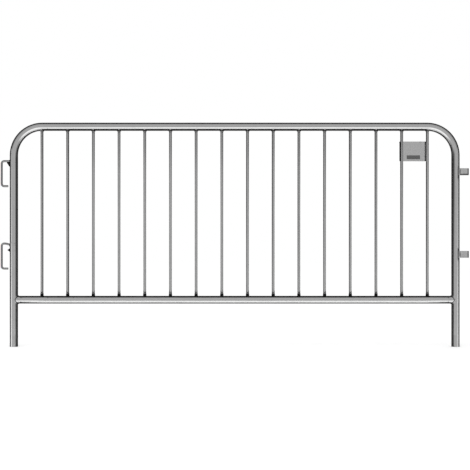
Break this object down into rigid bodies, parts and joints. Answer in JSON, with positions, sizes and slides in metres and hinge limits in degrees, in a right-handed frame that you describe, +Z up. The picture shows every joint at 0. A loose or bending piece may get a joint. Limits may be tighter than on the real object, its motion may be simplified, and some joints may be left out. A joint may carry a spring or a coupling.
{
  "type": "pedestrian barrier panel",
  "caption": "Welded galvanised crowd barrier panel: bent tube frame, bottom rail, upright bars, rod hooks on one leg, strap loops on the other and a small marking plate.",
  "frame": {"origin": "midway between the two legs, level with their cut ends", "axes": "+X along the panel from the hooks to the loops, +Y to the back (the side of the marking plate), +Z up"},
  "size_m": [2.3, 0.04, 1.1],
  "materials": {
    "frame": "hot-dip galvanised steel, dull grey with a faint spangle",
    "rail": "hot-dip galvanised steel, dull grey with a faint spangle",
    "bars": "hot-dip galvanised steel, dull grey with a faint spangle",
    "couplings": "hot-dip galvanised steel, dull grey with a faint spangle",
    "plate": "hot-dip galvanised steel, dull grey with a faint spangle"
  },
  "bodies": {
    "root": {"frame_tube": "frame", "bottom_rail": "rail", "bar_01": "bars", "bar_02": "bars", "bar_03": "bars", "bar_04": "bars", "bar_05": "bars", "bar_06": "bars", "bar_07": "bars", "bar_08": "bars", "bar_09": "bars", "bar_10": "bars", "bar_11": "bars", "bar_12": "bars", "bar_13": "bars", "bar_14": "bars", "bar_15": "bars", "bar_16": "bars", "hook_upper": "couplings", "hook_lower": "couplings", "loop_upper": "couplings", "loop_lower": "couplings", "marking_plate": "plate"}
  },
  "joints": []
}
